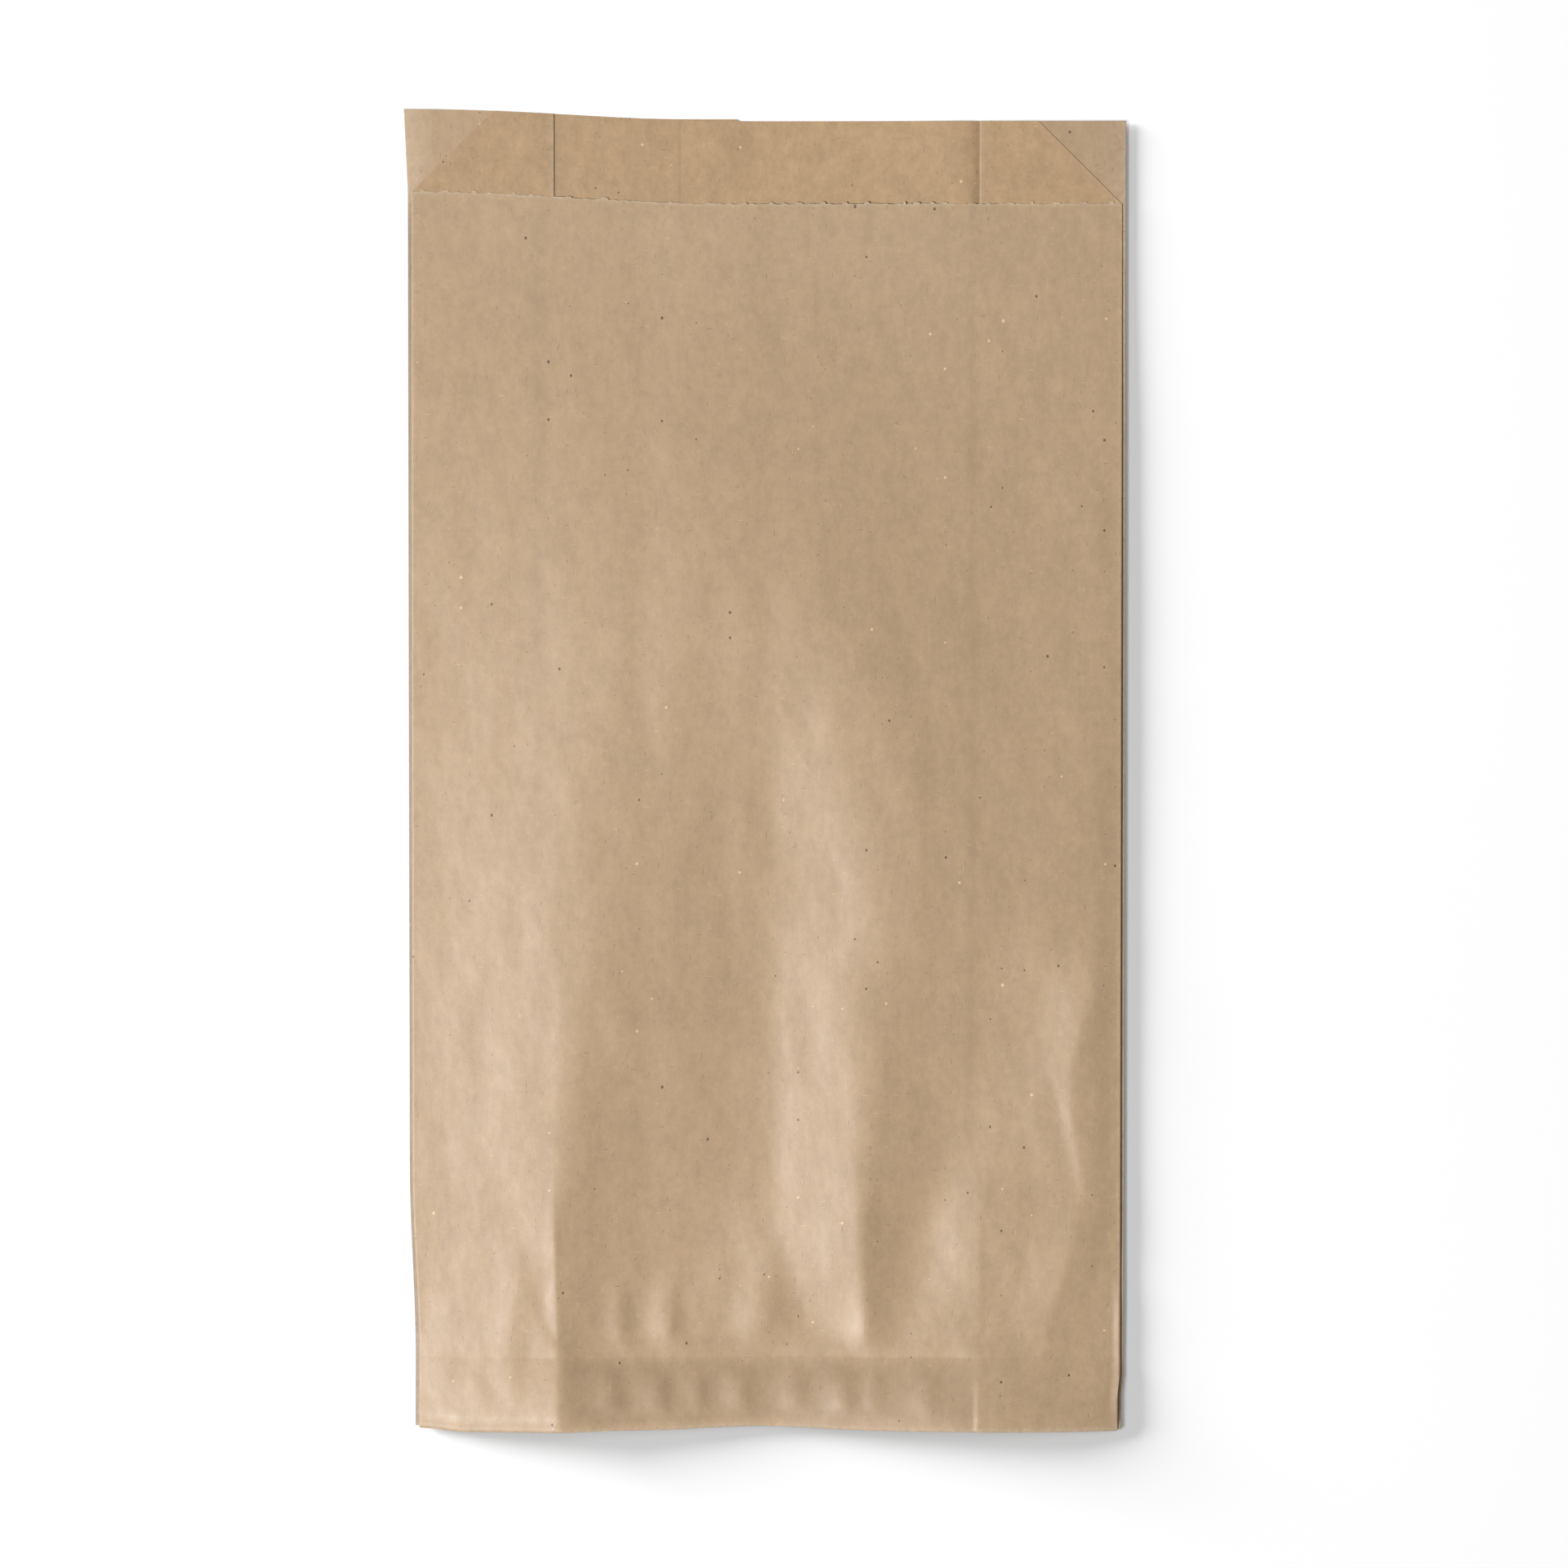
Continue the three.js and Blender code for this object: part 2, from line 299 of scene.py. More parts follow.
def ripples(x, y):
    low, level, falling, high = RIPPLE_SPAN
    height = 0 * (x + y)
    for place, left, right, rise in RIPPLES:
        half_width = np.where(x < place * MM, left, right) * MM
        height = height + rise * MM * bump(x, place * MM, half_width)
    return height * smooth(y, low, level) * (1 - smooth(y, falling, high))


def folds(x, y):
    height = 0 * (x + y)
    for line in FOLDS:
        up, *rest = (np.array(values) * MM for values in zip(*line))
        place, rise, left, right = (np.interp(y, up, values) for values in rest)
        height = height + rise * ramp_down(np.abs(x - place), 0, np.where(x < place, left, right))
    return height


def slack_waves():
    """Length, direction and start of each wave."""
    draws = chance.uniform(size=(SLACK_WAVES, 3))
    lengths = SLACK_LENGTH[0] + (SLACK_LENGTH[1] - SLACK_LENGTH[0]) * draws[:, 0]
    return np.stack([lengths, SLACK_TILT * (2 * draws[:, 1] - 1), 2 * math.pi * draws[:, 2]], axis=1)


WAVES = slack_waves()


def slack(x, y):
    height = 0 * (x + y)
    for length, tilt, start in WAVES:
        across = x * math.cos(tilt) + y * math.sin(tilt)
        height = height + SLACK * np.sin(2 * math.pi * across / length + start)
    return height * smooth(y, 0, PRESSED) * (1 - smooth(y, SWELL_FULL, FRONT_TOP))


MOUTH_GAP = 0.35 * MM  # the front wall's free edge stands off the back wall
MOUTH_GAP_X = 22 * MM  # most of all here
MOUTH_GAP_WIDTH = 27 * MM  # and less to either side
MOUTH_LENGTH = 40 * MM  # length of wall that lifts to that gap


def mouth_lift(x, y):
    between = bump(x, MOUTH_GAP_X, MOUTH_GAP_WIDTH)
    return MOUTH_GAP * between * smooth(y, FRONT_TOP - MOUTH_LENGTH, FRONT_TOP)


FOOT_SPRING = 0.35 * MM  # the bottom fold stands up by this above the pressed foot
FOOT_ROLL = 0.5 * MM  # and rolls down by this in its last stretch
FOOT_ROLL_LENGTH = 2.5 * MM


def foot_fold(y):
    """Height of the front wall's last stretch before the bottom fold."""
    roll = FOOT_ROLL * (1 - smooth(y, 0, FOOT_ROLL_LENGTH))
    return FOOT_SPRING * ramp_down(y, 0, PRESSED) - roll


def front_relief(x, y):
    """Height of the front wall above the plies that it lies on."""
    large = swell(x, y) + mouth_lift(x, y) + folds(x, y)
    return large + puckers(x, y) + ripples(x, y) + slack(x, y) + foot_fold(y)


# How the whole bag lies: its foot curls up off the table and arches at the inner folds. Points along the
# bottom fold in mm: (place across, height, radius)
END_LINE = 75  # place of the bottom fold's ends in mm, rounded
CURL = ((-END_LINE, 0.6, 1), (-INNER_LINE, 0.9, 10), (20, 1.6, 20), (50, 1.4, 10), (END_LINE, 0.5, 1))
ARCH = ((-END_LINE, 0, 1), (-44.7, 4.6, 1), (-2, 0.1, 12), (46, 4.0, 12), (END_LINE, 0, 1))
ARCH_LENGTH = 35 * MM  # the arch dies out over this length up the bag
RIGHT_LIFT = 0.7 * MM  # the right side stands off the table by this
RIGHT_LIFT_X = 15 * MM  # from here on
RIGHT_LIFT_FOOT = 40 * MM  # none at the foot, and all of it above this height
BOTTOM_RISE = 0.9 * MM  # the bottom fold runs up by this in the middle
BOTTOM_RISE_X = -3 * MM
BOTTOM_RISE_WIDTH = 17 * MM
BOTTOM_RISE_LENGTH = 25 * MM  # length of bag that follows it
CORNER_RISE = 0.7 * MM  # the bottom fold runs up by this at its left-hand end
CORNER_LENGTH = 10 * MM


def line_across(x, points):
    """Height at x of a line whose points are given in mm."""
    return MM * crests(x / MM, points)


def arch(x, y):
    """How far the whole bag stands off the table."""
    out = 1 - ramp_down(x, RIGHT_LIFT_X, BACK_FOLD - RIGHT_LIFT_X)
    lift = RIGHT_LIFT * out * smooth(y, 0, RIGHT_LIFT_FOOT)
    foot = line_across(x, ARCH) * (1 - smooth(y, 0, ARCH_LENGTH))
    return foot + line_across(x, CURL) * ramp_down(y, 0, PRESSED) + lift


# Ridge in the lip beside the right inner fold, its points given in the same way
LIP_RIDGE = ((30, 0, 6), (42.8, 0.5, 1.0), (44.9, 0, 0.4))
LIP_RIDGE_FROM = 24 * MM  # the back wall's closer stations begin here
LIP_RIDGE_LENGTH = 8 * MM  # it ends over this length below the front wall's edge


def lip_ridge(x, y):
    return np.maximum(line_across(x, LIP_RIDGE), 0) * smooth(y, FRONT_TOP - LIP_RIDGE_LENGTH, FRONT_TOP)


def bottom_line(x, y):
    """How far the bottom fold and the bag above it are shifted towards the mouth."""
    corner = CORNER_RISE * (1 - smooth(x + FRONT_FOLD, 0, CORNER_LENGTH))
    middle = BOTTOM_RISE * bump(x, BOTTOM_RISE_X, BOTTOM_RISE_WIDTH)
    return (corner + middle) * (1 - smooth(y, 0, BOTTOM_RISE_LENGTH))


# How the plies lie on each other
SPRING = (2.2 * MM, 0.5 * MM)  # the left and right gussets spring open by this along their side folds
SIDE_ROLL = 0.3 * MM  # the right side fold rolls down by this in its last stretch
SIDE_ROLL_FROM = 0.8  # share of the gusset's width at which that begins
SPRING_BEND = 1.6  # the left gusset bends up more towards its side fold
SPRING_AT_MOUTH = 0.1  # share of the spring that is left at the mouth
SPRING_LENGTH = 30 * MM  # length above the flap over which the gussets open
DRAPE = 3 * MM  # a ply comes down past an edge under it over this length
DRAPE_AT_MOUTH = 25 * MM  # the front wall comes down past the inner folds over this length at the mouth
DRAPE_AT_FOOT = 12 * MM  # and over this one at the foot on the left
CRISP_AT_FOOT = 1.2 * MM  # on the right it comes down by a share over this length
CRISP_SHARE = 0.45  # that share; the rest comes down up to the middle of the bag
DRAPE_OPENS_LEFT = (50 * MM, 130 * MM)  # heights between which the foot's way passes into the mouth's
DRAPE_OPENS_RIGHT = (4 * MM, 14 * MM)
TIP_DRAPE = 14 * MM  # the plies over the gusset's folded tip come down over this length
FLAP_DRAPE = 24 * MM  # the gussets come down past the flap's edge over this length
LAP_DRAPE = 9 * MM  # the front wall comes down past the seam's lap over this length
MOUTH_PRESS = 0.5  # at the mouth the plies lie closer by this share
PRESS_LENGTH = 60 * MM  # length below the mouth over which they close up


def gusset_spring(x, y):
    """Height that a sprung gusset adds to its upper ply and to the front wall."""
    out = np.clip((np.abs(x) - INNER_FOLD) / (FRONT_FOLD - INNER_FOLD), 0, 1)
    share = 1 - (1 - SPRING_AT_MOUTH) * smooth(y, HEIGHT / 2, FRONT_TOP)
    right = SPRING[1] * out - SIDE_ROLL * smooth(out, SIDE_ROLL_FROM, 1)
    spring = np.where(x < 0, SPRING[0] * out ** SPRING_BEND, right)
    return spring * share * smooth(y, FLAP, FLAP + SPRING_LENGTH)


def flap_plies(x, y):
    """Plies of the folded flap under a place: the flap, and at the corners the gusset's folded tip."""
    tip = ramp_down(FRONT_FOLD - np.abs(x) + np.minimum(y, FLAP), LIP - TIP_DRAPE / 2, TIP_DRAPE)
    drape = DRAPE + (FLAP_DRAPE - DRAPE) * smooth(np.abs(x) - INNER_FOLD, 0, CREASE_END)
    return (1 - smooth(y, FLAP, FLAP + drape)) * (1 + tip)


def plies_under_front(x, y):
    """Plies under the front wall: the back wall, two gusset plies near the sides, and the seam's lap."""
    opening = np.where(x < 0, smooth(y, *DRAPE_OPENS_LEFT), smooth(y, *DRAPE_OPENS_RIGHT))
    past_fold = INNER_FOLD - np.abs(x)
    crisp = smooth(past_fold, 0, CRISP_AT_FOOT)
    right_foot = CRISP_SHARE * crisp + (1 - CRISP_SHARE) * smooth(past_fold, 0, INNER_FOLD)
    at_foot = np.where(x < 0, smooth(past_fold, 0, DRAPE_AT_FOOT), right_foot)
    at_mouth = smooth(past_fold, 0, DRAPE_AT_MOUTH)
    over_gusset = 1 - at_foot - (at_mouth - at_foot) * opening
    over_lap = 1 - smooth(np.maximum(SEAM_X - x, x - SEAM_END), 0, LAP_DRAPE)
    return 1 + 2 * over_gusset + over_lap


# Stations across the blank and rows along it, with the longest steps between them
FOLD_STEPS = 5  # flats round one fold
FRONT_STEP = 1.0 * MM  # across the front wall
GUSSET_STEP = 2.5 * MM  # across the upper gusset plies and the ridge in the lip
BACK_STEP = 6 * MM  # across the back wall and the lower gusset plies
FOOT_STEP = 1.2 * MM  # along the foot
FOOT_TOP = 64 * MM  # which has its closer rows up to here
LOWER_STEP = 2.4 * MM  # from there up to where the swell is full
UPPER_STEP = 4.5 * MM  # and from there up to the front wall's edge
EDGE_STEPS = (0.3 * MM, 0.8 * MM, 2 * MM)  # lines close to a fold or an edge
TINY = 1e-9  # keeps a whole number of steps from being rounded up

# x: place across the folded bag; plies: plies under it; cut: how far the stepped cut has risen there;
# tuck: plies under it in the folded flap; upper: 1 on the front wall and the gusset ply that springs
# up with it; front: 1 on the front wall; fold: 1 inside a fold; slip: 1 on the back wall left of the
# seam and under its lap
Station = namedtuple("Station", "x plies cut tuck upper front fold slip")


def by_field(stations):
    """The stations' values, as one array for each field."""
    return Station(*np.array(stations).T)


def spaced(start, end, longest):
    """Evenly spaced values from one to another, both included."""
    count = max(1, math.ceil(abs(end - start) / longest - TINY))
    return [start + (end - start) * i / count for i in range(count + 1)]


def subdivided(stops, longest):
    """The stops in order, with the stretches between them divided into even steps."""
    runs = [spaced(a, b, longest)[1:] for a, b in zip(stops, stops[1:])]
    return [stops[0]] + [value for run in runs for value in run]


def fold_between(a, b, side):
    """The stations strictly inside a fold from one station to another, bulging to one side."""
    inside = []
    for i in range(1, FOLD_STEPS):
        turn = math.pi * i / FOLD_STEPS
        share = (1 - math.cos(turn)) / 2
        middle = Station(*[p + (q - p) * share for p, q in zip(a, b)])
        inside.append(middle._replace(x=middle.x + side * PITCH * math.sin(turn) / 2, fold=1))
    return inside


def back_station(x, plies=0, slip=0):
    return Station(x, plies, cut=LIP, tuck=0, upper=0, front=0, fold=0, slip=slip)


def front_station(x):
    return Station(x, plies=3, cut=0, tuck=0, upper=1, front=1, fold=0, slip=0)


def upper_gusset_station(x):
    cut = min(FRONT_FOLD - x, LIP)
    return Station(x, plies=2, cut=cut, tuck=1, upper=1, front=0, fold=0, slip=0)


# How far the upper gusset ply is cut back at its columns, out from the front wall's side fold
MITRE_STEPS = subdivided([0, FLAP], GUSSET_STEP) + spaced(FLAP, LIP, TURN_IN / FOLD_STEPS)[1:]


def gusset_stations():
    """The right-hand gusset, from the back wall's side fold to the inner fold and out again."""
    lower_stops = [BACK_FOLD, BACK_FOLD - LIP, BACK_FOLD - LIP - DRAPE, INNER_FOLD]
    near_fold = [INNER_FOLD] + [INNER_FOLD + step for step in EDGE_STEPS]
    beyond_mitre = subdivided(near_fold + [FRONT_FOLD - LIP], GUSSET_STEP)
    along_mitre = [FRONT_FOLD - cut for cut in reversed(MITRE_STEPS[:-1])]
    lower = [back_station(x, plies=1) for x in subdivided(lower_stops, BACK_STEP)]
    upper = [upper_gusset_station(x) for x in beyond_mitre + along_mitre]
    return (
        fold_between(back_station(BACK_FOLD), lower[0], 1)
        + lower
        + fold_between(lower[-1], upper[0], -1)
        + upper
        + fold_between(upper[-1], front_station(FRONT_FOLD), 1)
    )


# Torn perforation along the front wall's edge
NUB_PITCH = (2.5 * MM, 8.5 * MM)  # smallest and largest
NUB_WIDTH = (0.4 * MM, 2.0 * MM)
NUB_HEIGHT = (0.1 * MM, 0.55 * MM)
NUB_SHOULDER = 0.25  # share of a nub's width that each flank takes
RAGGED = 0.12 * MM  # the whole edge strays up and down by this at most


def nub_list():
    """Nubs along the torn edge from left to right: (middle, width, height)."""
    nubs = []
    x = -FRONT_FOLD + chance.uniform(*NUB_PITCH) / 2
    while x < FRONT_FOLD - NUB_PITCH[0] / 2:
        nubs.append((x, chance.uniform(*NUB_WIDTH), chance.uniform(*NUB_HEIGHT)))
        x += chance.uniform(*NUB_PITCH)
    return nubs


NUBS = nub_list()


def nub_stops():
    """Places at which the nubs' outlines turn."""
    stops = []
    for middle, width, _ in NUBS:
        flank = width * (0.5 - NUB_SHOULDER)
        stops += [middle - width / 2, middle - flank, middle + flank, middle + width / 2]
    return stops


def torn_edge(x):
    """How far the torn edge stands above its straight line at each station."""
    height = np.zeros_like(x)
    for middle, width, rise in NUBS:
        flank = width * NUB_SHOULDER
        height += rise * ramp_down(np.abs(x - middle), width / 2 - flank, flank)
    return height + chance.uniform(-RAGGED, RAGGED, len(x))


def front_places():
    """Places of the front wall's stations, from right to left."""
    near_side = [FRONT_FOLD] + [FRONT_FOLD - step for step in EDGE_STEPS]
    near_inner = [INNER_FOLD + side * step for step in EDGE_STEPS for side in (1, -1)]
    half = near_side + near_inner + [INNER_FOLD]
    stops = sorted(half + [-x for x in half] + nub_stops(), reverse=True)
    return subdivided(stops, FRONT_STEP)


def blank_stations():
    """All stations across the blank, from the lap's upper ply round the tube to the ply under it."""
    right = gusset_stations()
    left = [s._replace(x=-s.x) for s in reversed(right)]
    back_stops = [INNER_FOLD, BACK_FOLD - LIP - DRAPE, BACK_FOLD - LIP, BACK_FOLD]
    near_fold = [INNER_FOLD - step for step in reversed(EDGE_STEPS)]
    ridge = subdivided([LIP_RIDGE_FROM] + near_fold, GUSSET_STEP)
    right_back = subdivided([SEAM_END + DRAPE] + ridge + back_stops, BACK_STEP)
    near_seam = [SEAM_X - step for step in reversed(EDGE_STEPS)]
    near_left_fold = [step - INNER_FOLD for step in EDGE_STEPS]
    left_stops = [-x for x in reversed(back_stops)] + near_left_fold + near_seam
    left_back = subdivided(left_stops + [SEAM_X, SEAM_END], BACK_STEP)
    return (
        [back_station(x, plies=1) for x in subdivided([SEAM_X, SEAM_END], BACK_STEP)]
        + [back_station(x) for x in right_back]
        + right
        + [front_station(x) for x in front_places()]
        + left
        + [back_station(x, slip=1) for x in left_back]
    )


def blank_rows():
    """Distance up from the bottom fold and angle round that fold, for each row of the blank."""
    turns = spaced(math.pi, 0, math.pi / FOLD_STEPS)
    fold = [-TURN_IN * turn / math.pi for turn in turns]
    flap = [cut - LIP for cut in MITRE_STEPS if cut < FLAP]
    crease = [PRESSED - EDGE_STEPS[0], PRESSED, PRESSED + EDGE_STEPS[0]]
    foot = subdivided([0, *EDGE_STEPS, *crease, FLAP, FLAP + DRAPE, FOOT_TOP], FOOT_STEP)[1:]
    lower = spaced(FOOT_TOP, SWELL_FULL, LOWER_STEP)[1:]
    below_edge = [FRONT_TOP - step for step in reversed(EDGE_STEPS)]
    upper = spaced(SWELL_FULL, below_edge[0], UPPER_STEP)[1:] + below_edge[1:]
    lip = [FRONT_TOP + cut for cut in MITRE_STEPS]
    above = foot + lower + upper + lip
    along = flap + fold + above
    turn = [math.pi] * len(flap) + turns + [0] * len(above)
    return np.array(along), np.array(turn)


# The folded sheet

def folded_points(stations, along, turn, tear):
    """The middle of the paper, one point for each row and station."""
    s = Station(*(values[None, :] for values in by_field(stations)))
    along, turn = along[:, None], turn[:, None]
    up = np.maximum(along, 0)
    on_front = s.front == 1
    plies = np.where(on_front, plies_under_front(s.x, up), s.plies)
    pitch = PITCH * (1 - MOUTH_PRESS * smooth(up, FRONT_TOP - PRESS_LENGTH, FRONT_TOP))
    over = PAPER / 2 + pitch * (plies + flap_plies(s.x, up))
    over = over + s.upper * gusset_spring(s.x, up) + s.front * front_relief(s.x, up)
    over = over + (s.plies == 0) * lip_ridge(s.x, up)
    under = PAPER / 2 + PITCH * s.tuck
    y = np.maximum(up, -along - TURN_IN) - (over - under) / 2 * np.sin(turn)
    z = under + (over - under) * (1 + np.cos(turn)) / 2 + arch(s.x, y)
    foot_draw = np.where(
        s.x < 0,
        FOOT_DRAW[0] * (1 - smooth(y, *FOOT_DRAW_LEFT)),
        FOOT_DRAW[1] * (1 - smooth(y, *FOOT_DRAW_RIGHT)),
    )
    draw_in = DRAW_IN * (1 - y / HEIGHT) + foot_draw
    flare = LIP_FLARE * smooth(-s.x, INNER_FOLD, BACK_FOLD) * (1 - ramp_down(y, FRONT_TOP, LIP))
    x = s.x * (1 - draw_in / BACK_FOLD) - flare
    skew = CUT_SKEW * smooth(CUT_LEVEL_X - s.x, 0, BACK_FOLD + CUT_LEVEL_X)
    slip = SEAM_SLIP * s.slip * smooth(s.x, SEAM_END - SLIP_LENGTH, SEAM_END)
    skew = (skew + slip) * smooth(y, FRONT_TOP - SKEW_LENGTH, FRONT_TOP)
    y = y + skew + bottom_line(s.x, y) + np.where(on_front & (along == FRONT_TOP), tear, 0)
    return np.stack(np.broadcast_arrays(x, y, z), axis=-1)


def blank_triangles(stations, along):
    """Triangles inside the blank's outline, split along the line that the stepped cut takes."""
    cut = by_field(stations).cut
    columns = len(stations)
    triangles = []
    for j in range(len(along) - 1):
        for i in range(columns - 1):
            a, b, c, d = (i, j), (i + 1, j), (i + 1, j + 1), (i, j + 1)
            rises = cut[i + 1] >= cut[i]
            for corners in ((a, b, c), (a, c, d)) if rises else ((a, b, d), (b, c, d)):
                rise = sum(cut[p] for p, _ in corners) / len(corners)
                at = sum(along[q] for _, q in corners) / len(corners)
                if rise - LIP <= at <= rise + FRONT_TOP:
                    triangles.append([q * columns + p for p, q in corners])
    return np.array(triangles)


def sheet_normals(points, triangles):
    """Direction in which the sheet faces at each point, towards the inside of the bag."""
    a, b, c = (points[triangles[:, k]] for k in range(3))
    facing = np.cross(b - a, c - a)
    facing /= np.linalg.norm(facing, axis=1, keepdims=True)
    normals = np.zeros_like(points)
    for k in range(3):
        np.add.at(normals, triangles[:, k], facing)
    return normals / np.linalg.norm(normals, axis=1, keepdims=True)


def rim_edges(triangles):
    """Edges of the sheet that only one triangle has, in that triangle's direction."""
    sides = np.concatenate([triangles[:, [0, 1]], triangles[:, [1, 2]], triangles[:, [2, 0]]])
    taken = {(a, b) for a, b in sides.tolist()}
    return np.array(sorted((a, b) for a, b in taken if (b, a) not in taken))


# Marks on the paper, painted shade among them
FOLD_WEAR = 0.45 * MM  # how far the rubbed paper reaches from a fold
TORN_RIM = 0.45 * MM  # height of the paler fibres along the torn edge
FOOT_TONE_FADE = 4 * MM  # length in which the darker paper of the pressed foot fades out the pressed foot between the inner folds is darker by this share
FOOT_TONE = -0.09  # the paste changes the tone by this share
LEFT_TONE = -0.06  # tone of the back wall and the upper gusset ply to the left of the seam
LAP_TONE = -0.04  # and of the lap's upper ply
SIDE_SHADE = -0.38  # painted shade: the strip that shows beside the front wall on the left is darkened by this share, as shade under the front wall's side fold
SIDE_FADE = 6 * MM  # it fades out over this length at the mouth

# Painted shade lines down the paper: (place across in mm, half width in mm, tone)
# On the front wall: painted shade along the imprints of the inner folds
FOLD_SHADE_LINES = ((43.2, 0.8, -0.055), (-48.2, 1.8, -0.05))
FOLD_SHADE_FADE = (40 * MM, 80 * MM)  # not at the foot: they set in between these heights
# In the lip: painted shade beside the inner folds and along the seam's edge
LIP_SHADE_LINES = ((44.4, 0.7, -0.14), (-44.7, 0.5, -0.16), (-18.25, 0.35, -0.12))


def flat_places(stations, along):
    """Place of each point on the flat blank, as distances across and along it."""
    steps = np.hypot(np.diff(by_field(stations).x), PITCH / FOLD_STEPS)
    across = np.concatenate([[0], np.cumsum(steps)])
    return np.stack(np.broadcast_arrays(across[None, :], along[:, None]), axis=-1)


def shade_lines(x, lines):
    """Painted shade that darker lines make at x."""
    return sum(tone * bump(x, place * MM, width * MM) for place, width, tone in lines)


def tones(stations, along):
    """How much lighter or darker the paper is at each point, painted shade included."""
    s = by_field(stations)
    x = s.x
    on_front = s.front == 1
    between = on_front * smooth(INNER_FOLD - np.abs(x), 0, FOOT_TONE_FADE)
    pressed = ramp_down(along, PRESSED - FOOT_TONE_FADE / 2, FOOT_TONE_FADE / 2)
    foot = smooth(along, EDGE_STEPS[1], EDGE_STEPS[2]) * pressed
    lap = (s.plies == 1) & (s.cut == LIP) & (x >= SEAM_X) & (x <= SEAM_END)
    face_in = ~on_front & (s.plies != 1)
    # painted shade in the lip beside the inner folds and the seam's edge
    lip_shade = shade_lines(x, LIP_SHADE_LINES) * (np.abs(x) < INNER_FOLD)
    inside = LAP_TONE * lap + face_in * (LEFT_TONE * (x < SEAM_X) + lip_shade)
    # painted shade along the inner folds' imprints on the front wall
    fold_shade = on_front * shade_lines(x, FOLD_SHADE_LINES)
    fold_shade = fold_shade[None, :] * smooth(along, *FOLD_SHADE_FADE)[:, None]
    # painted shade on the strip of back wall and lower gusset ply beside the front wall's left side fold
    side = SIDE_SHADE * ((s.upper == 0) & (x < -FRONT_FOLD))
    beside = side[None, :] * ramp_down(along, FRONT_TOP - SIDE_FADE, SIDE_FADE)[:, None]
    return FOOT_TONE * between[None, :] * foot[:, None] + inside[None, :] + fold_shade + beside


def marks(stations, along, flat):
    """Rubbed folds, torn edge and tone of the paper with its painted shade: three values for each point.
    """
    s = by_field(stations)
    across = flat[0, :, 0]
    to_fold = np.abs(across[:, None] - across[s.fold == 1][None, :]).min(axis=1)
    to_bottom = np.maximum(np.abs(along + TURN_IN / 2) - TURN_IN / 2, 0)
    in_front = s.cut < LIP
    rubbed = np.maximum(
        bump(to_fold, 0, FOLD_WEAR)[None, :],
        bump(to_bottom, 0, FOLD_WEAR)[:, None] * in_front[None, :],
    )
    torn = (s.front == 1)[None, :] * ramp_down(FRONT_TOP - along, 0, TORN_RIM)[:, None]
    return np.stack(np.broadcast_arrays(rubbed, torn, tones(stations, along)), axis=-1)


BAKE_SPAN = 0.62  # length of blank that the square of the bake map holds
BAKE_RIM = 0.5 * MM  # width of the strip in which the rim is laid
BAKE_BORDER = 2 * BAKE_RIM  # the faces begin this far inside the square
BAKE_GAP = 4 * BAKE_RIM  # between the two faces


def bake_map(mesh, flat, triangles, rim):
    """Lays the blank's two faces, one above the other, and its rim in the unit square."""
    place = flat - flat.min(axis=0)
    above = np.array([0, place[:, 1].max() + BAKE_GAP])
    start, end = place[rim[:, 0]], place[rim[:, 1]]
    way = (end - start) / np.linalg.norm(end - start, axis=1, keepdims=True)
    out = BAKE_RIM * np.stack([way[:, 1], -way[:, 0]], axis=1)
    corners = (
        place[triangles] + above,
        place[triangles[:, ::-1]],
        np.stack([start, start + out, end + out, end], axis=1),
    )
    map_places = np.concatenate([c.reshape(-1, 2) for c in corners])
    map_places = (map_places + BAKE_BORDER) / BAKE_SPAN
    mesh.uv_layers.new(name="OFBake").data.foreach_set("uv", map_places.ravel())


OUTER, INNER, EDGE = range(3)  # material slots of the sheet's two faces and of its rim
SHARP = math.radians(50)  # an edge that turns by more than this is shaded sharp


def paper_bag():
    """The folded sheet as one closed mesh: its inner and outer faces and the rim between them."""
    stations = blank_stations()
    along, turn = blank_rows()
    tear = torn_edge(by_field(stations).x)
    points = folded_points(stations, along, turn, tear).reshape(-1, 3)
    flat = flat_places(stations, along)
    mark = marks(stations, along, flat).reshape(-1, 3)
    flat = flat.reshape(-1, 2)
    triangles = blank_triangles(stations, along)
    used, triangles = np.unique(triangles, return_inverse=True)
    triangles = triangles.reshape(-1, 3)
    points, flat, mark = points[used], flat[used], mark[used]
    points[:, 1] += box_low[1] - points[:, 1].min() + PAPER / 2

    inward = sheet_normals(points, triangles) * PAPER / 2
    count = len(points)
    rim = rim_edges(triangles)
    vertices = np.concatenate([points + inward, points - inward])
    outer = triangles[:, ::-1] + count
    edge = np.stack([rim[:, 0], rim[:, 0] + count, rim[:, 1] + count, rim[:, 1]], axis=1)
    mesh = bpy.data.meshes.new(NODE)
    mesh.from_pydata(vertices.tolist(), [], triangles.tolist() + outer.tolist() + edge.tolist())
    slots = [INNER] * len(triangles) + [OUTER] * len(outer) + [EDGE] * len(edge)
    mesh.polygons.foreach_set("material_index", slots)
    mesh.shade_smooth()
    mesh.set_sharp_from_angle(angle=SHARP)
    blank = np.concatenate([flat, 0 * flat[:, :1]], axis=1)
    for name, values in (("blank", blank), ("marks", mark)):
        both_faces = np.concatenate([values, values])
        attribute = mesh.attributes.new(name, "FLOAT_VECTOR", "POINT")
        attribute.data.foreach_set("vector", both_faces.ravel())
    bake_map(mesh, flat, triangles, rim)
    bag = bpy.data.objects.new("folded_sheet", mesh)
    bpy.context.scene.collection.objects.link(bag)
    return bag


# Materials
NOISE_DETAIL = 2.0
SPECK_EDGE = 4  # how sharply a speck stands out
MIX_UNDER, MIX_OVER, MIX_RESULT = 6, 7, 2  # sockets of the Mix node for colours


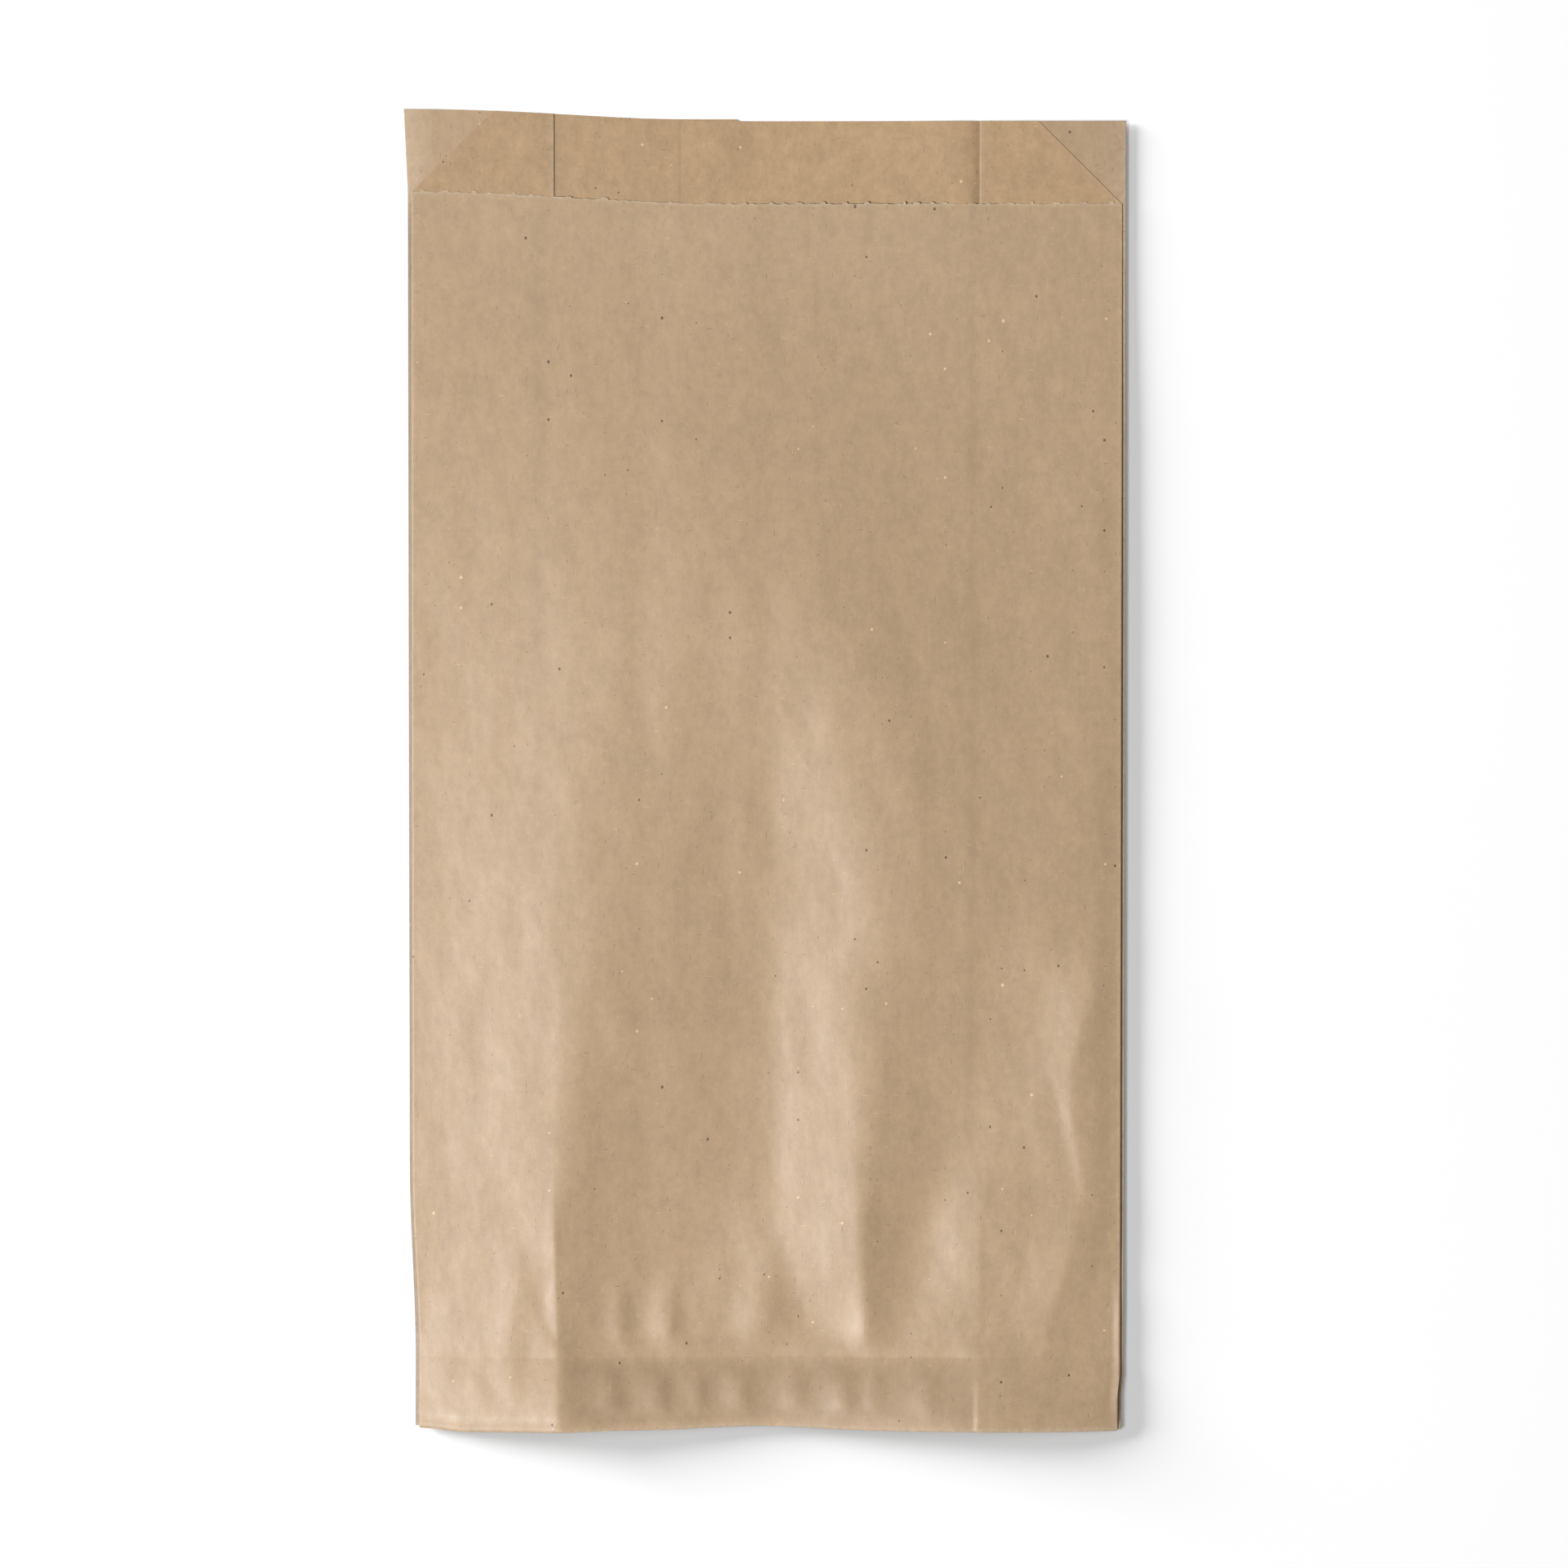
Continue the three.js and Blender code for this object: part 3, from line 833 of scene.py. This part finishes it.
def add_node(tree, kind, inputs=None, **settings):
    """A shader node with its settings; an input is a value or another node's socket."""
    node = tree.nodes.new("ShaderNode" + kind)
    for name, value in settings.items():
        setattr(node, name, value)
    for key, value in (inputs or {}).items():
        if isinstance(value, bpy.types.NodeSocket):
            tree.links.new(value, node.inputs[key])
        else:
            node.inputs[key].default_value = value
    return node


def maths(tree, operation, *values, clamp=False):
    node = add_node(tree, "Math", dict(enumerate(values)), operation=operation, use_clamp=clamp)
    return node.outputs[0]


def stretched(tree, place, size, shift):
    """The place on the blank, counted in cells of a size across and along."""
    scale = (1 / size[0], 1 / size[1], 1)
    inputs = {"Vector": place, "Scale": scale, "Location": (shift, 2 * shift, 0)}
    return add_node(tree, "Mapping", inputs).outputs[0]


def noise(tree, place, size, shift):
    inputs = {"Vector": stretched(tree, place, size, shift), "Scale": 1.0, "Detail": NOISE_DETAIL}
    return add_node(tree, "TexNoise", inputs, noise_dimensions="2D").outputs["Fac"]


def specks(tree, place, size, shift, share, radius):
    """Spots in a share of all cells, of random size up to a radius in cells."""
    inputs = {"Vector": stretched(tree, place, size, shift), "Scale": 1.0}
    cells = add_node(tree, "TexVoronoi", inputs, voronoi_dimensions="2D")
    draw = add_node(tree, "SeparateColor", {"Color": cells.outputs["Color"]}).outputs[0]
    rarity = maths(tree, "SUBTRACT", draw, 1 - share)
    reach = maths(tree, "MULTIPLY", rarity, radius / share)
    inside = maths(tree, "SUBTRACT", reach, cells.outputs["Distance"])
    return maths(tree, "MULTIPLY", inside, SPECK_EDGE / radius, clamp=True)


def mixed(tree, share, under, over):
    inputs = {"Factor": share, MIX_UNDER: under, MIX_OVER: over}
    return add_node(tree, "Mix", inputs, data_type="RGBA").outputs[MIX_RESULT]


# Tone of the paper: (size across, size along) in mm, and how far it lightens and darkens
TONES = (
    ((16.0, 22.0), 0.045),
    ((5.0, 6.5), 0.080),
    ((1.9, 2.4), 0.080),
    ((0.8, 1.1), 0.060),
    ((0.5, 14.0), 0.015),
    ((0.3, 0.45), 0.050),
)
# Specks and short fibres: size of a cell in mm, share of the cells that have one, radius in cells, and
# colour as a share of the paper's
SPECKS = (
    ((2.4, 2.9), 0.028, 0.14, 0.32),
    ((1.5, 1.9), 0.030, 0.13, 0.62),
    ((0.35, 2.4), 0.030, 0.28, 0.70),
    ((2.0, 0.4), 0.012, 0.28, 0.72),
    ((3.1, 3.5), 0.022, 0.12, 1.65),
    ((0.3, 2.0), 0.035, 0.28, 1.22),
    ((2.2, 0.3), 0.016, 0.28, 1.30),
)
FIBRES = (0.60, 0.49, 0.36, 1)  # pale fibres of rubbed and torn paper
RUBBED = 0.35  # how far the fibres show where it is rubbed
TORN = 0.7  # and where it is torn
PATCH = (1.2, 1.2)  # size in mm of the patches in which paper is rubbed or torn
PATCH_CONTRAST = 1.6  # the patches are their noise times this
PATCH_LEVEL = -0.2  # plus this
GLAZE = (2.5, 7.0)  # size in mm of the patches in which the glaze is duller
GLAZE_RANGE = 0.12  # range of the roughness from patch to patch
RUBBED_DULL = 0.15  # rubbed paper is rougher by this
COCKLE = ((7.0, 11.0), 0.13 * MM)  # size in mm and depth of the cockles of the paper
GRAIN = ((0.35, 0.6), 0.010 * MM)  # and of its grain
PAPER_IOR = 1.55

# Looks of the sheet in the order of its slots: colour, roughness and strength of the mottle
KRAFT_LOOKS = {
    "kraft_outer": ((0.44, 0.303, 0.183), 0.45, 1.0),
    "kraft_inner": ((0.438, 0.286, 0.154), 0.55, 1.5),
    "kraft_edge": ((0.55, 0.43, 0.30), 0.8, 1.0),
}


def kraft(name, colour, roughness, mottle):
    """A kraft paper that takes its mottle, specks and marks from the place on the flat blank."""
    material = bpy.data.materials.new(name)
    material.use_nodes = True
    tree = material.node_tree
    shader = tree.nodes["Principled BSDF"]
    place = add_node(tree, "Attribute", attribute_name="blank").outputs["Vector"]
    place = add_node(tree, "VectorMath", {0: place, "Scale": 1 / MM}, operation="SCALE").outputs[0]
    mark = add_node(tree, "Attribute", attribute_name="marks").outputs["Vector"]
    mark = add_node(tree, "SeparateXYZ", {"Vector": mark})

    tone = 1 - mottle * sum(depth for _, depth in TONES)
    for shift, (size, depth) in enumerate(TONES):
        tone = maths(tree, "MULTIPLY_ADD", noise(tree, place, size, shift), 2 * mottle * depth, tone)
    # the marks' third value darkens the paper by its tone and where shade is painted
    tone = maths(tree, "MULTIPLY_ADD", tone, mark.outputs["Z"], tone)

    def paper(share):
        return (*(min(1, share * c) for c in colour), 1)

    patchy = noise(tree, place, PATCH, len(TONES))
    patchy = maths(tree, "MULTIPLY_ADD", patchy, PATCH_CONTRAST, PATCH_LEVEL, clamp=True)
    rubbed = maths(tree, "MULTIPLY", mark.outputs["X"], patchy)
    torn = maths(tree, "MULTIPLY", mark.outputs["Y"], patchy)
    base = mixed(tree, maths(tree, "MULTIPLY", rubbed, RUBBED), paper(1), FIBRES)
    base = mixed(tree, maths(tree, "MULTIPLY", torn, TORN), base, FIBRES)
    for shift, (size, share, radius, shade) in enumerate(SPECKS):
        spots = specks(tree, place, size, shift, share, radius)
        base = mixed(tree, spots, base, paper(shade))
    toned = add_node(tree, "VectorMath", {0: base, "Scale": tone}, operation="SCALE")
    tree.links.new(toned.outputs[0], shader.inputs["Base Color"])

    glaze = noise(tree, place, GLAZE, len(TONES) + 1)
    dulled = maths(tree, "MULTIPLY_ADD", rubbed, RUBBED_DULL, roughness - GLAZE_RANGE / 2)
    dulled = maths(tree, "MULTIPLY_ADD", glaze, GLAZE_RANGE, dulled)
    tree.links.new(dulled, shader.inputs["Roughness"])
    normal = None
    for shift, (size, depth) in enumerate((COCKLE, GRAIN)):
        inputs = {"Height": noise(tree, place, size, shift), "Distance": depth, "Strength": 1.0}
        if normal:
            inputs["Normal"] = normal
        normal = add_node(tree, "Bump", inputs).outputs[0]
    tree.links.new(normal, shader.inputs["Normal"])
    shader.inputs["IOR"].default_value = PAPER_IOR
    return material


# Stage
PIXEL = 0.172 * MM  # what a pixel of the photograph spans
FRAME_PIXELS = 1920  # the photograph's width and height
BAG_CENTRE_PIXEL = (939, 942)  # where the middle of the bag lies in it
LENS = 120  # in mm, like the sensor's width
SENSOR = 36


def add_camera():
    """A camera straight above the bag, which takes in as much as the photograph does."""
    camera = bpy.data.cameras.new("camera")
    camera.lens = LENS
    camera.sensor_width = SENSOR
    holder = bpy.data.objects.new("camera", camera)
    bpy.context.scene.collection.objects.link(holder)
    centre_x = (FRAME_PIXELS / 2 - BAG_CENTRE_PIXEL[0]) * PIXEL
    centre_y = (BAG_CENTRE_PIXEL[1] - FRAME_PIXELS / 2) * PIXEL
    distance = FRAME_PIXELS * PIXEL * LENS / SENSOR
    holder.location = (centre_x, centre_y, distance)
    bpy.context.scene.camera = holder


FLOOR_SIZE = 3.0
FLOOR_DROP = 0.05 * MM  # the floor lies this far below z = 0, clear of the bag
FLOOR_GREY = 0.30  # white under all the lamps
FLOOR_LOOK = {
    "Base Color": (FLOOR_GREY, FLOOR_GREY, FLOOR_GREY, 1),
    "Roughness": 1.0,
    "Specular IOR Level": 0,
}


def add_floor():
    bpy.ops.mesh.primitive_plane_add(size=FLOOR_SIZE, location=(0, 0, -FLOOR_DROP))
    floor = bpy.context.object
    floor.name = "floor"
    material = bpy.data.materials.new("white_floor")
    material.use_nodes = True
    shader = material.node_tree.nodes["Principled BSDF"]
    for key, value in FLOOR_LOOK.items():
        shader.inputs[key].default_value = value
    floor.data.materials.append(material)
    return floor


# Lamps: angles in degrees, distance and size in metres, power in watts
WINDOW = {"azimuth": 200, "elevation": 54, "distance": 1.9, "size": 0.7, "power": 44}
# Two that shine on the floor alone: a low one for the bag's shadow, and one overhead that lightens it
FLOOR_LAMP = {"azimuth": 160, "elevation": 10, "distance": 5.0, "size": 2.3, "power": 2350}
FLOOR_FILL = {"azimuth": 0, "elevation": 80, "distance": 2.0, "size": 2.0, "power": 41}
ROOM_LIGHT = 0.18  # strength of the white light from all around


def add_light(name, azimuth, elevation, distance, size, power):
    """An area light that shines at the middle of the bag; azimuth 0 is on +X, 90 on +Y."""
    light = bpy.data.lights.new(name, "AREA")
    light.shape = "DISK"
    light.size = size
    light.energy = power
    holder = bpy.data.objects.new(name, light)
    bpy.context.scene.collection.objects.link(holder)
    turn, tilt = math.radians(azimuth), math.radians(elevation)
    holder.location = (
        distance * math.cos(tilt) * math.cos(turn),
        distance * math.cos(tilt) * math.sin(turn),
        distance * math.sin(tilt),
    )
    holder.rotation_euler = (math.pi / 2 - tilt, 0, turn + math.pi / 2)
    return holder


def light_only(holder, thing):
    """Lets a lamp shine on one thing alone; all else still shades it."""
    lit = bpy.data.collections.new("lit_by_" + holder.name)
    lit.objects.link(thing)
    holder.light_linking.receiver_collection = lit


def add_world():
    world = bpy.data.worlds.new("soft_room")
    world.use_nodes = True
    background = world.node_tree.nodes["Background"]
    background.inputs["Strength"].default_value = ROOM_LIGHT
    background.inputs["Color"].default_value = (1, 1, 1, 1)
    bpy.context.scene.world = world


bag = paper_bag()
for name, look in KRAFT_LOOKS.items():
    bag.data.materials.append(kraft(name, *look))
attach(bag, BODY)
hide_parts(NODE)

floor = add_floor()
add_light("window", **WINDOW)
light_only(add_light("floor_lamp", **FLOOR_LAMP), floor)
light_only(add_light("floor_fill", **FLOOR_FILL), floor)
add_world()
add_camera()
bpy.context.scene.view_settings.view_transform = "Standard"
